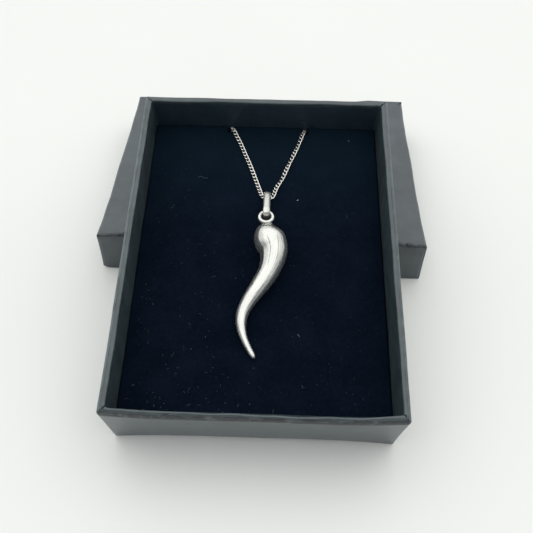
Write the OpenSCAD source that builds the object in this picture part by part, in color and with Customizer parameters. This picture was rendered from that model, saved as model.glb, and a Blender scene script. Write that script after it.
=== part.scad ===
// Silver horn-shaped drop pendant on a fine curb chain, lying in its lift-off-lid gift box.
// The box tray is propped at its far end on the near edge of its own lid.
// Millimetres, +Z up, the table at Z 0, the origin under the middle of the whole thing.

/* [Box tray] */
// Width of the tray, left to right
tray_w = 70; // [69:0.5:72]
// Length of the tray, from its near edge to its raised far edge
tray_l = 94; // [93:0.5:96]
// Height of the tray walls outside
tray_h = 21; // [20.5:0.5:23]
// Thickness of the paper-covered board
board = 1.8; // [1.6:0.1:2]

/* [Box lid] */
// Height of the lid
lid_h = 14; // [13:0.5:16]
// Room between the lid and the tray on each side when the box is shut
lid_room = 0.2; // [0.1:0.1:0.5]
// Distance from the tray's near edge to the middle of the lid's near edge
lid_y = 56.6; // [54:0.1:60]
// Offset of the middle of the lid's near edge, to the right
lid_x = -0.3; // [-2:0.1:2]
// Turn of the lid on the table, in degrees
lid_turn = -0.7; // [-1.5:0.1:1.5]

/* [Velvet pad] */
// Depth of the pad's top below the tray's rim
pad_drop = 10.1; // [9.9:0.1:10.4]
// Thickness of the padded top
pad_thick = 5.2; // [4.9:0.1:5.4]
// Radius of the pad's rolled edges
pad_round = 1.2; // [0.6:0.1:1.6]
// Width of each of the two chain slots
slot_w = 1.9; // [1.8:0.1:2.4]
// Place of the left chain slot
slot_left = -10.3; // [-11:0.1:-10]
// Place of the right chain slot
slot_right = 12.1; // [11.8:0.1:12.6]

/* [Pendant] */
// Outside diameter of the soldered ring
ring_od = 4.6; // [4.5:0.1:4.8]
// Wire of the soldered ring
ring_wire = 1; // [0.9:0.05:1.05]
// Diameter of the collar under the ring
collar_d = 3; // [2.6:0.1:3.2]
// Thickness of the bail's strap
bail_strap = 0.55; // [0.45:0.05:0.6]
// Width of the bail at the ring
bail_w = 1.9; // [1.7:0.1:2]
// Width of the bail where the chain passes
bail_wide = 2.1; // [2:0.05:2.2]

/* [Chain] */
// Distance from one link to the next
pitch = 1.19; // [1.18:0.01:1.2]
// Length of one link outside
link_l = 1.88; // [1.86:0.01:1.9]
// Width of one link outside
link_w = 1.16; // [1.12:0.01:1.18]
// Wire of the links
link_wire = 0.24; // [0.2:0.01:0.25]
// Turn of each end of a link out of the link's middle plane
link_twist = 54; // [50:1:56]
// Outside diameter of the hidden stretches
tube_d = 1.1; // [1:0.1:1.2]
// Diameter of the clasp's barrel
clasp_d = 2.2; // [1.8:0.1:2.6]
// Length of the clasp's barrel
clasp_l = 5; // [4:0.5:6]

/* [Hidden] */

// Room left between pieces that lie on each other
rest_gap = 0.1;
// How far a cut runs past the face that it opens
past = 1;

// The lid goes over the tray, long side to long side
lid_long = tray_l + 2 * (board + lid_room);
lid_short = tray_w + 2 * (board + lid_room);

// The tray leans on the lid's near top edge, which is closest under the tray's right side
lean_y = lid_y - tray_w / 2 * abs(sin(lid_turn));
lean = atan2(lid_h, lean_y) + asin(rest_gap / norm([lean_y, lid_h]));

// Heights in the tray, measured from its underside
pad_top = tray_h - pad_drop;
under_pad = pad_top - pad_thick;
pad_side = 0.3;
skirt = 1.9;
slot_depth = skirt + pad_side;
pad_far = tray_l - board - pad_side;
slot_y = pad_far - 0.4;

// Corners of the lid on the table, which give the middle of the whole thing
lid_corners = [
    for (side = [-0.5, 0.5]) for (depth = [0, 1])
    [lid_x + side * lid_long * cos(lid_turn) - depth * lid_short * sin(lid_turn),
     lid_y + side * lid_long * sin(lid_turn) + depth * lid_short * cos(lid_turn)]
];
corner_x = [for (corner = lid_corners) corner.x];
corner_y = [for (corner = lid_corners) corner.y];
near_y = -tray_h * sin(lean);
middle = [(min(corner_x) + max(corner_x)) / 2, (near_y + max(corner_y)) / 2, 0];

// Place of the pendant on the pad: its ring is in the middle of pendant_x
pendant_x = 1.3;
tip_y = 17.55;
horn_lift = 6.5;
horn_rest = 0.72;

// Sections of the horn from its tip to its collar, with the ring's middle at ACROSS 0
ACROSS = 0;
ALONG = 1;
RADIUS = 2;
horn_rows = [
    [-1.70, 0.00, 0.22],
    [-1.85, 0.15, 0.45],
    [-2.10, 0.50, 0.60],
    [-2.55, 1.20, 0.70],
    [-3.35, 2.60, 0.80],
    [-4.45, 4.80, 0.95],
    [-5.20, 7.10, 1.18],
    [-5.45, 9.40, 1.43],
    [-5.10, 11.80, 1.65],
    [-4.10, 14.20, 1.85],
    [-2.70, 16.60, 2.10],
    [-1.15, 19.00, 2.38],
    [0.10, 21.10, 2.58],
    [1.10, 23.10, 2.78],
    [1.85, 25.40, 3.12],
    [2.20, 27.40, 3.50],
    [2.15, 29.50, 3.90],
    [1.40, 31.70, 4.25],
    [0.75, 33.40, 3.95],
    [0.45, 34.90, 3.15],
    [0.45, 35.90, 2.10],
    [0.38, 36.50, 1.45]
];
collar_x = 0.35;
collar_y = 36.3;
collar_l = 0.75;
collar_root = 0.6;
ring_sink = 0.15;
ring_droop = 13;

// The bail: two rounded ends joined by the strap, dipping from the ring to the pad
bail_near = [1.35, 58.4, pad_top + 3.8];
bail_reach = 6.8;
bail_dip = 17.9;
bail_near_r = 1.9;
bail_far_r = 1.6;

// Route of the chain in the tray, from the clasp's left eye to its right eye:
// across, along, and height over the tray's underside
floor_h = board + tube_d / 2 + 1.5 * rest_gap;
lie_h = pad_top + link_w / 2;
clasp_y = 12;
clasp_h = board + clasp_d / 2 + rest_gap;
eye_d = 2.2;
eye_wire = 0.5;
eye_sink = 0.1;
eye_x = clasp_l / 2 + eye_d / 2 - eye_sink;
left_under = [
    [-eye_x - 1.3, clasp_y + 0.2, clasp_h - 0.2],
    [-8, 14, floor_h],
    [-9, 18, floor_h],
    [-9, 45.5, floor_h],
    [-10, 49.5, floor_h],
    [-13.5, 51.5, floor_h],
    [-17, 49.5, floor_h],
    [-18, 45.5, floor_h],
    [-18, 14, floor_h],
    [-19, 10, floor_h],
    [-22, 8, floor_h],
    [-25, 10, floor_h],
    [-26, 14, floor_h],
    [-26, 75, floor_h],
    [-24.5, 80, floor_h],
    [-20, 82, floor_h],
    [-14, 83, floor_h],
    [-11, 85.5, floor_h]
];
left_slot = [
    [slot_left, slot_y - 1.6, floor_h],
    [slot_left, slot_y - 0.35, floor_h + 0.5],
    [slot_left, slot_y, floor_h + 1.8],
    [slot_left, slot_y, pad_top - 1.3],
    [slot_left + 0.2, slot_y - 0.7, pad_top + 0.4]
];
front = [
    [-9.3, 89.2, lie_h + 0.5],
    [-8.6, 87.7, lie_h + 0.35],
    [-7.25, 85, lie_h + 0.05],
    [-5.6, 80.9, lie_h],
    [-3.7, 76.1, lie_h],
    [-2.15, 71.7, lie_h],
    [-1.25, 69, lie_h + 0.1],
    [-0.8, 67.6, lie_h + 0.3],
    [-0.45, 66.35, lie_h + 0.6],
    [-0.05, 65.4, lie_h + 0.85],
    [0.6, 64.85, lie_h + 1],
    [1.35, 64.7, lie_h + 1],
    [2.1, 64.85, lie_h + 1],
    [2.75, 65.25, lie_h + 0.9],
    [3.15, 66.15, lie_h + 0.6],
    [3.4, 67.4, lie_h + 0.35],
    [3.9, 69.1, lie_h + 0.1],
    [5.4, 72.1, lie_h],
    [7.05, 76.8, lie_h],
    [8.8, 81.4, lie_h],
    [10.3, 85.6, lie_h],
    [11.35, 89.2, lie_h]
];
right_slot = [
    [slot_right - 0.2, slot_y - 0.7, pad_top - 0.1],
    [slot_right, slot_y, pad_top - 1.8],
    [slot_right, slot_y, floor_h + 1.8],
    [slot_right, slot_y - 0.35, floor_h + 0.5],
    [slot_right, slot_y - 1.6, floor_h]
];
right_under = [
    [12.6, 85.5, floor_h],
    [15, 83, floor_h],
    [20, 82, floor_h],
    [24.5, 80, floor_h],
    [26, 75, floor_h],
    [26, 14, floor_h],
    [25, 10, floor_h],
    [22, 8, floor_h],
    [19, 10, floor_h],
    [18, 14, floor_h],
    [18, 45.5, floor_h],
    [17, 49.5, floor_h],
    [13.5, 51.5, floor_h],
    [10, 49.5, floor_h],
    [9, 45.5, floor_h],
    [9, 18, floor_h],
    [8, 14, floor_h],
    [eye_x + 1.3, clasp_y + 0.2, clasp_h - 0.2]
];
route = concat(left_under, left_slot, front, right_slot, right_under);

// Small vector helpers
function unit(v) = v / norm(v);
function mix(a, b, t) = a * (1 - t) + b * t;

// Direction of a route at one of its points
function heading(points, i) =
    i == 0 ? unit(points[1] - points[0]) :
    i == len(points) - 1 ? unit(points[i] - points[i - 1]) :
    unit(unit(points[i] - points[i - 1]) + unit(points[i + 1] - points[i]));

// Point on the smooth curve between two neighbouring points of a route
function curve_point(points, i, t) =
    let (
        reach = norm(points[i + 1] - points[i]),
        start = points[i],
        stop = points[i + 1],
        out = heading(points, i) * reach,
        in = heading(points, i + 1) * reach
    )
    start * (2 * pow(t, 3) - 3 * pow(t, 2) + 1) + out * (pow(t, 3) - 2 * pow(t, 2) + t)
    + stop * (3 * pow(t, 2) - 2 * pow(t, 3)) + in * (pow(t, 3) - pow(t, 2));

function smooth(points, steps) = [
    for (i = [0 : len(points) - 2]) for (k = [0 : steps - 1]) curve_point(points, i, k / steps),
    points[len(points) - 1]
];

// Running length along a list of points
function lengths(points) = [
    for (i = 0, run = 0; i < len(points);
         run = run + (i + 1 < len(points) ? norm(points[i + 1] - points[i]) : 0), i = i + 1) run
];

// Faces of a body swept through rings of points, closed into a loop or capped at both ends
function swept_faces(rings, sides, loop) = concat(
    [for (i = [0 : rings - (loop ? 1 : 2)]) for (j = [0 : sides - 1])
        let (next = (i + 1) % rings, after = (j + 1) % sides)
        [i * sides + j, next * sides + j, next * sides + after, i * sides + after]],
    loop ? [] : [[for (j = [0 : sides - 1]) j],
                 [for (j = [sides - 1 : -1 : 0]) (rings - 1) * sides + j]]
);

// Ring of points around one point of a path
function ring_points(point, across, up, radius, sides) = [
    for (j = [0 : sides - 1])
    point + radius * (cos(360 * j / sides) * across + sin(360 * j / sides) * up)
];

// The chain's curve and the running length at each of its points
curve_steps = 8;
chain_curve = smooth(route, curve_steps);
chain_run = lengths(chain_curve);
chain_length = chain_run[len(chain_run) - 1];
run_x = [for (i = [0 : len(chain_run) - 1]) [chain_run[i], chain_curve[i].x]];
run_y = [for (i = [0 : len(chain_run) - 1]) [chain_run[i], chain_curve[i].y]];
run_z = [for (i = [0 : len(chain_run) - 1]) [chain_run[i], chain_curve[i].z]];
function chain_at(run) = [lookup(run, run_x), lookup(run, run_y), lookup(run, run_z)];

// Joints between links lie one pitch apart, and the shown links start and end half-way
// round the bend at the head of each slot
left_head = len(left_under) + 3;
right_head = len(left_under) + len(left_slot) + len(front);
first_link = ceil(chain_run[(left_head + 0.5) * curve_steps] / pitch);
last_link = floor(chain_run[(right_head + 0.5) * curve_steps] / pitch) - 1;

// Directions across a path, each carried on from the one before so that nothing flips
function squared(side, forward) = unit(side - (side * forward) * forward);
function carried(headings, start) = [
    for (i = 0, side = squared(start, headings[0]); i < len(headings);
         i = i + 1, side = i < len(headings) ? squared(side, headings[i]) : side) side
];

module in_box() {
    translate(-middle) rotate([lean, 0, 0]) children();
}

module slab(width, length, height, radius) {
    // Slab with rounded upper edges, made by crossing two rounded profiles
    intersection() {
        translate([0, length, 0]) rotate([90, 0, 0]) linear_extrude(length)
            rounded_profile(width, height, radius);
        translate([-width / 2, length / 2, 0]) rotate([90, 0, 90]) linear_extrude(width)
            rounded_profile(length, height, radius);
    }
}

module rounded_profile(width, height, radius) {
    translate([-width / 2, 0]) square([width, height - radius]);
    translate([radius - width / 2, 0]) square([width - 2 * radius, height]);
    for (side = [-1, 1]) {
        translate([side * (width / 2 - radius), height - radius]) circle(radius, $fn = 48);
    }
}

module box_tray() {
    color("#2b2d30") in_box() difference() {
        translate([-tray_w / 2, 0, 0]) cube([tray_w, tray_l, tray_h]);
        translate([board - tray_w / 2, board, board])
            cube([tray_w - 2 * board, tray_l - 2 * board, tray_h]);
    }
}

module box_lid() {
    color("#33363a") translate(-middle) translate([lid_x, lid_y, 0]) rotate([0, 0, lid_turn])
    difference() {
        translate([-lid_long / 2, 0, 0]) cube([lid_long, lid_short, lid_h]);
        translate([board - lid_long / 2, board, -past])
            cube([lid_long - 2 * board, lid_short - 2 * board, lid_h - board + past]);
    }
}

module velvet_pad() {
    pad_w = tray_w - 2 * (board + pad_side);
    pad_l = tray_l - 2 * (board + pad_side);
    foot = board + rest_gap;
    color("#0b1018") in_box() difference() {
        translate([0, board + pad_side, foot])
            slab(pad_w, pad_l, pad_top - foot, pad_round);
        translate([skirt - pad_w / 2, board + pad_side + skirt, 0])
            cube([pad_w - 2 * skirt, pad_l - 2 * skirt, under_pad]);
        for (x = [slot_left, slot_right]) {
            translate([x - slot_w / 2, pad_far - slot_depth, 0]) cube([slot_w, slot_depth + past, tray_h]);
        }
    }
}

module horn_drop() {
    steps = 3;
    sides = 28;
    table = smooth(horn_rows, steps);
    spine = [for (row = table) [row[ACROSS], row[ALONG], 0]];
    rings = [for (i = [0 : len(table) - 1])
        each ring_points(spine[i], cross([0, 0, 1], heading(spine, i)), [0, 0, 1],
                         table[i][RADIUS], sides)];
    color("silver") in_box()
    translate([pendant_x, tip_y, pad_top + horn_rest]) rotate([horn_lift, 0, 0]) {
        polyhedron(rings, swept_faces(len(table), sides, false));
        translate([collar_x, collar_y + collar_l, 0]) rotate([90, 0, 0])
            cylinder(d = collar_d, h = collar_l + collar_root, $fn = 48);
        translate([0, collar_y + collar_l - ring_sink, 0]) rotate([-ring_droop, 0, 0])
            translate([0, ring_od / 2, 0]) wire_ring(ring_od, ring_wire);
    }
}

module wire_ring(outside, wire) {
    rotate_extrude($fn = 48) translate([(outside - wire) / 2, 0]) circle(d = wire, $fn = 20);
}

module bail() {
    // Strap run through the middle of its thickness, as run along the bail and height
    near_r = bail_near_r - bail_strap / 2;
    far_r = bail_far_r - bail_strap / 2;
    flare = asin((near_r - far_r) / bail_reach);
    half = 90 - flare;
    upper = [cos(half), sin(half)];
    lower = [cos(half), -sin(half)];
    straight = [0.2, 0.4, 0.6, 0.75, 0.9];
    strap = concat(
        [for (turn = [-half : half / 5 : half]) [bail_reach, 0] + far_r * [cos(turn), sin(turn)]],
        [for (t = straight) mix([bail_reach, 0] + far_r * upper, near_r * upper, t)],
        [for (k = [0 : 10]) near_r * [cos(half + k * (360 - 2 * half) / 10),
                                      sin(half + k * (360 - 2 * half) / 10)]],
        [for (t = straight) mix(near_r * lower, [bail_reach, 0] + far_r * lower, t)]
    );
    count = len(strap);
    widths = [[-2, bail_w], [3.2, bail_w + 0.1], [5.2, bail_wide], [6.8, bail_wide], [8.4, bail_w]];
    // Section of the strap: flat inside, crowned outside, as share of width and of thickness
    section = [[-0.36, -0.5], [0.36, -0.5], [0.5, -0.15], [0.42, 0.2], [0.2, 0.5], [-0.2, 0.5],
               [-0.42, 0.2], [-0.5, -0.15]];
    rings = [for (i = [0 : count - 1])
        let (
            ahead = unit(strap[(i + 1) % count] - strap[(i + count - 1) % count]),
            outward = [ahead.y, -ahead.x],
            width = lookup(strap[i].x, widths)
        )
        for (corner = section)
        let (place = strap[i] + outward * corner.y * bail_strap)
        [corner.x * width, place.x, place.y]];
    color("silver") in_box() translate(bail_near) rotate([-bail_dip, 0, 0])
        polyhedron(rings, swept_faces(count, len(section), true));
}

// Wire stations round one link: a half circle at each end of two straight sides
link_reach = (link_l - link_wire) / 2;
link_bend = (link_w - link_wire) / 2;
link_flat = link_reach - link_bend;
link_outline = concat(
    [for (turn = [-90 : 30 : 90]) [link_flat + link_bend * cos(turn), link_bend * sin(turn)]],
    [for (turn = [90 : 30 : 270]) [-link_flat + link_bend * cos(turn), link_bend * sin(turn)]]
);

// A place on the link after its ends are turned out of its middle plane, left-handed
function twisted(place) =
    let (turn = -link_twist * place.x / link_reach)
    [place.x, place.y * cos(turn), place.y * sin(turn)];

// Points of one link, lying along X with its middle plane level
link_sides = 6;
link_stations = len(link_outline);
link_points = [
    for (i = [0 : link_stations - 1])
    let (
        place = link_outline[i],
        ahead = unit(twisted(link_outline[(i + 1) % link_stations])
                     - twisted(link_outline[(i + link_stations - 1) % link_stations])),
        turn = -link_twist * place.x / link_reach,
        level = unit(cross([0, -sin(turn), cos(turn)], ahead)),
        up = cross(ahead, level)
    )
    each ring_points(twisted(place), level, up, link_wire / 2, link_sides)
];

// The same points once the link hangs between two joints on the chain's curve
function hung_link(from, to, side) =
    let (forward = unit(to - from), up = cross(forward, side))
    [for (p = link_points) (from + to) / 2 + p.x * forward + p.y * side + p.z * up];

module chain_front() {
    joints = [for (k = [first_link : last_link + 1]) chain_at(k * pitch)];
    count = len(joints) - 1;
    sides = carried([for (k = [0 : count - 1]) unit(joints[k + 1] - joints[k])], [1, 0, 0]);
    faces = swept_faces(link_stations, link_sides, true);
    color("silver") in_box() polyhedron(
        [for (k = [0 : count - 1]) each hung_link(joints[k], joints[k + 1], sides[k])],
        [for (k = [0 : count - 1]) for (face = faces) [for (i = face) i + k * len(link_points)]]
    );
}

module tube(points, start_side, diameter) {
    corners = 8;
    headings = [for (i = [0 : len(points) - 1]) heading(points, i)];
    sides = carried(headings, start_side);
    rings = [for (i = [0 : len(points) - 1])
        each ring_points(points[i], sides[i], cross(headings[i], sides[i]), diameter / 2, corners)];
    polyhedron(rings, swept_faces(len(points), corners, false));
}

module chain_back() {
    // Hidden stretches from the clasp to the last link shown in each slot
    overhang = (link_l - pitch) / 2 + 3 * rest_gap;
    left_end = first_link * pitch - overhang;
    right_start = (last_link + 1) * pitch + overhang;
    left_foot = left_head - 1;
    right_foot = right_head + 2;
    left = [
        each smooth([for (i = [0 : left_foot]) route[i]], 2),
        chain_at(left_end)
    ];
    right = [
        chain_at(right_start),
        each smooth([for (i = [right_foot : len(route) - 1]) route[i]], 2)
    ];
    color("silver") in_box() {
        tube(left, [0, 1, 0], tube_d);
        tube(right, [1, 0, 0], tube_d);
    }
}

module clasp() {
    color("silver") in_box() translate([0, clasp_y, clasp_h]) {
        rotate([0, 90, 0]) cylinder(d = clasp_d, h = clasp_l, center = true, $fn = 48);
        for (side = [-1, 1]) {
            translate([side * eye_x, 0, 0]) wire_ring(eye_d, eye_wire);
        }
    }
}

box_tray();
box_lid();
velvet_pad();
horn_drop();
bail();
chain_front();
chain_back();
clasp();
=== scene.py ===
import math
import random

import bmesh
import bpy
import numpy as np
from mathutils import Matrix, Vector, noise


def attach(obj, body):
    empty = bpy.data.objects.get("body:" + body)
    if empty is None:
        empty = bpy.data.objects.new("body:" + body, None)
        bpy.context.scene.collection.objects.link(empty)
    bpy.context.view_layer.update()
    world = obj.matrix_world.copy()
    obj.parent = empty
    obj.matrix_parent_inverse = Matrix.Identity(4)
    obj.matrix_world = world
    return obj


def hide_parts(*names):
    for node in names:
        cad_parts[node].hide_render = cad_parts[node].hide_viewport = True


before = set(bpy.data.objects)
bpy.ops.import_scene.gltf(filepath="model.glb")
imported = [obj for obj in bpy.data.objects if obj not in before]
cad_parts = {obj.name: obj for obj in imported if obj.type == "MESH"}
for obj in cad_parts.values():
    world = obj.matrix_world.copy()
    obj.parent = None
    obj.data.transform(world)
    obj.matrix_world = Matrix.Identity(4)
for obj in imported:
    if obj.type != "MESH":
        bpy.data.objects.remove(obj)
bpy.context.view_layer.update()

# Everything below is worked out in millimetres and turned into metres once, in Piece.make
MM = 0.001

# Box tray and lid
TRAY_W = 70
TRAY_L = 94
TRAY_H = 21
BOARD = 1.8
LID_H = 14
LID_ROOM = 0.2
LID_X = -0.3
LID_Y = 56.6
LID_TURN = math.radians(-0.7)
REST_GAP = 0.1

# Velvet pad
PAD_TOP = TRAY_H - 10.1
PAD_THICK = 5.2
PAD_ROUND = 0.5
PILE = 0.2
PAD_SIDE = 0.3
SKIRT = 1.9
SLOT_W = 1.9
SLOT_LEFT = -10.3
SLOT_RIGHT = 12.1
UNDER_PAD = PAD_TOP - PAD_THICK
PAD_FAR = TRAY_L - BOARD - PAD_SIDE
SLOT_DEPTH = SKIRT + PAD_SIDE
SLOT_Y = PAD_FAR - 0.4

# Pendant
PENDANT_X = 1.3
TIP_Y = 17.55
HORN_LIFT = math.radians(6.5)
HORN_REST = 0.72
RING_OD = 4.6
RING_WIRE = 1.08
COLLAR_X = 0.35
COLLAR_END = 37.05
RING_SINK = 0.15
RING_DROOP = math.radians(13)
BAIL_STRAP = 0.55
BAIL_W = 1.9
BAIL_WIDE = 2.1
BAIL_NEAR = (1.35, 58.4, PAD_TOP + 3.8)
BAIL_REACH = 6.8
BAIL_DIP = math.radians(17.9)
BAIL_NEAR_R = 1.9
BAIL_FAR_R = 1.6
BAIL_CROWN = 0.4

# Chain and clasp
PITCH = 1.19
LINK_L = 1.83
LINK_W = 1.27
LINK_WIRE = 0.29
FILED = 0.27
LINK_TWIST = math.radians(54)
TUBE_D = 1.1
CLASP_D = 2.2
CLASP_L = 5
CLASP_Y = 12
EYE_D = 2.2
EYE_WIRE = 0.5

# The tray leans on the lid's near top edge; the origin is under the middle of the whole thing
LID_LONG = TRAY_L + 2 * (BOARD + LID_ROOM)
LID_SHORT = TRAY_W + 2 * (BOARD + LID_ROOM)
LEAN_Y = LID_Y - TRAY_W / 2 * abs(math.sin(LID_TURN))
LEAN = math.atan2(LID_H, LEAN_Y) + math.asin(REST_GAP / math.hypot(LEAN_Y, LID_H))
LID_CORNERS = [
    (LID_X + side * LID_LONG * math.cos(LID_TURN) - depth * LID_SHORT * math.sin(LID_TURN),
     LID_Y + side * LID_LONG * math.sin(LID_TURN) + depth * LID_SHORT * math.cos(LID_TURN))
    for side in (-0.5, 0.5) for depth in (0, 1)
]
MIDDLE_X = (min(c[0] for c in LID_CORNERS) + max(c[0] for c in LID_CORNERS)) / 2
MIDDLE_Y = (max(c[1] for c in LID_CORNERS) - TRAY_H * math.sin(LEAN)) / 2
TO_MIDDLE = Matrix.Translation((-MIDDLE_X, -MIDDLE_Y, 0))
IN_TRAY = TO_MIDDLE @ Matrix.Rotation(LEAN, 4, "X")
IN_LID = TO_MIDDLE @ Matrix.Translation((LID_X, LID_Y, 0)) @ Matrix.Rotation(LID_TURN, 4, "Z")
IN_HORN = (IN_TRAY @ Matrix.Translation((PENDANT_X, TIP_Y, PAD_TOP + HORN_REST))
           @ Matrix.Rotation(HORN_LIFT, 4, "X"))
IN_RING = (IN_HORN @ Matrix.Translation((0, COLLAR_END - RING_SINK, 0))
           @ Matrix.Rotation(-RING_DROOP, 4, "X") @ Matrix.Translation((0, RING_OD / 2, 0)))
IN_BAIL = IN_TRAY @ Matrix.Translation(BAIL_NEAR) @ Matrix.Rotation(-BAIL_DIP, 4, "X")
IN_CLASP = IN_TRAY @ Matrix.Translation((0, CLASP_Y, BOARD + CLASP_D / 2 + REST_GAP))


# Shader maths

class Socket:
    """An output of a node. Python's operators on it add Math nodes."""

    def __init__(self, graph, link):
        self.graph = graph
        self.link = link

    def maths(self, operation, *values):
        return self.graph.node("Math", {"operation": operation}, dict(enumerate(values)))

    def __add__(self, other):
        return self.maths("ADD", self, other)

    def __sub__(self, other):
        return self.maths("SUBTRACT", self, other)

    def __rsub__(self, other):
        return self.maths("SUBTRACT", other, self)

    def __mul__(self, other):
        return self.maths("MULTIPLY", self, other)

    def __abs__(self):
        return self.maths("ABSOLUTE", self)

    __radd__ = __add__
    __rmul__ = __mul__

    def between(self, low, high):
        """0 below low, 1 above high, and a soft step from one to the other."""
        sockets = {"Value": self, "From Min": low, "From Max": high}
        return self.graph.node("MapRange", {"interpolation_type": "SMOOTHSTEP"}, sockets)


class Graph:
    """The nodes of a material or of the world."""

    def __init__(self, owner):
        owner.use_nodes = True
        self.nodes = owner.node_tree.nodes
        self.links = owner.node_tree.links

    def feed(self, socket, value):
        if isinstance(value, Socket):
            self.links.new(value.link, socket)
        elif isinstance(value, tuple) and len(value) == 3 and socket.type == "RGBA":
            socket.default_value = (*value, 1)
        else:
            socket.default_value = value

    def node(self, kind, settings=None, sockets=None, output=0):
        """Adds a node: its type, its settings, and the values or links of its sockets."""
        node = self.nodes.new("ShaderNode" + kind)
        for word, value in (settings or {}).items():
            setattr(node, word, value)
        for name, value in (sockets or {}).items():
            self.feed(node.inputs[name], value)
        return Socket(self, node.outputs[output])

    def tint(self, share, first, second):
        """Mixes two colours: the first where share is 0, the second where it is 1."""
        return self.node("Mix", {"data_type": "RGBA"}, {0: share, 6: first, 7: second}, 2)


class Finish(Graph):
    """One procedural material. Constants go straight onto its Principled shader's sockets."""

    def __init__(self, name, **constants):
        self.material = bpy.data.materials.new(name)
        super().__init__(self.material)
        self.shader = self.nodes["Principled BSDF"]
        for word, value in constants.items():
            self.feed(self.shader.inputs[word.replace("_", " ").title().replace("Ior", "IOR")], value)

    def place(self, attribute=None):
        """Where a point is: its place in metres, or a vector kept on the mesh."""
        if attribute:
            return self.node("Attribute", {"attribute_name": attribute}, output="Vector")
        return self.node("TexCoord", output="Object")

    def mark(self):
        """The piece's value of wear, tarnish or tone, and of painted shade and highlights."""
        return self.node("Attribute", {"attribute_name": "marks_and_shading"}, output="Fac")

    def axis(self, place, letter):
        return self.node("SeparateXYZ", None, {"Vector": place}, letter)

    def stretched(self, place, across, along, up):
        return self.node("VectorMath", {"operation": "MULTIPLY"}, {0: place, 1: (across, along, up)})

    def grain(self, place, scale, detail=2.0, rough=0.5):
        """Soft noise round 0.5, with about scale lumps to each unit of the place."""
        sockets = {"Vector": place, "Scale": scale, "Detail": detail, "Roughness": rough}
        return self.node("TexNoise", None, sockets)

    def relief(self, height, depth, strength=1.0, under=None):
        """Bumps over the ones under them. A height of 1 stands for depth, in metres."""
        sockets = {"Strength": strength, "Distance": depth, "Height": height}
        if under:
            sockets["Normal"] = under
        return self.node("Bump", None, sockets)

    def shade(self, **inputs):
        """Feeds what changes over the surface into the shader."""
        for word, value in inputs.items():
            self.feed(self.shader.inputs[word.replace("_", " ").title()], value)
        return self.material


# Painted shade on the far inner wall and the far edges, tinted the blue of the velvet below it
FAR_SHADE_COLOUR = (0.004, 0.022, 0.044)
# Painted shade on the rounded near edges, where they mirror the dark front of the room, and in the
# folds
EDGE_AND_FOLD_SHADE = (0.002, 0.006, 0.011)
# How much paler than lit paper its rubbed edges and its painted highlights and sheen are
WORN_AND_SHEEN_LIFT = 2.1


def paper_finish(name, ground, lit):
    """Black paper with a satin face over board: fine fibres, soft mottling and rubbed edges, with
    painted highlights and sheen on rims and folds, and painted shade on the near edges, in the folds
    and on the far inside.
    """
    paper = Finish(name, ior=1.7)
    place = paper.place()
    marks_and_shading = paper.mark()
    fibres = paper.grain(paper.stretched(place, 1, 0.35, 1), 2600, 3, 0.6)
    mottle = paper.grain(place, 240, 3, 0.55)
    cloud = paper.grain(place, 60, 2)
    shade = (mottle * 0.6 + cloud * 0.4).between(0.3, 0.7)
    # Paler where the mark is high: wear, and painted highlights and sheen on rims and folds
    wear_and_highlight = (marks_and_shading * (mottle * 0.8 + fibres * 0.6)).between(0.45, 1.0)
    ground_colour = paper.tint(shade, ground, lit)
    wear_and_highlight_colour = tuple(WORN_AND_SHEEN_LIFT * c for c in lit)
    wear_and_painted_light = paper.tint(wear_and_highlight * 0.55, ground_colour, wear_and_highlight_colour)
    deep = (0 - marks_and_shading).between(0.9, 1.2)
    along = paper.axis(place, "Y")
    # Painted shade: blue-black on the far inner wall and the far edges
    far_shade = (0 - marks_and_shading).between(0.1, 0.9) * along.between(-0.005, 0.01)
    crinkle = paper.grain(paper.stretched(place, 0.6, 1, 1), 900, 4, 0.7)
    # Painted shade along the rounded near edges and in the folds
    edge_and_fold_shade = (0 - marks_and_shading + crinkle * 4 - 2).between(0.7, 1.6)
    colour = paper.tint(edge_and_fold_shade, paper.tint(far_shade, wear_and_painted_light, FAR_SHADE_COLOUR), EDGE_AND_FOLD_SHADE)
    rough = 0.24 + mottle * 0.1 + fibres * 0.06 + wear_and_highlight * 0.06 + far_shade * 0.25
    coarse = paper.relief(cloud + crinkle * (deep * 1.6 + 0.2), 0.0004, 0.6)
    fine = paper.relief(fibres * 0.6 + mottle * 0.8, 0.0001, 0.8, coarse)
    return paper.shade(base_color=colour, roughness=rough, normal=fine)


# Where the painted light on the velvet is strongest, paler and bluer, in metres from the middle of the
# box
FAR_VELVET_LIGHT = 0.05
VELVET_DARK = (0.0025, 0.0052, 0.0114)
VELVET_LIT = (0.0046, 0.0083, 0.0172)
VELVET_FLECK = (0.012, 0.018, 0.030)
VELVET_FAR_LIGHT = (0.008, 0.023, 0.034)


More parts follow.
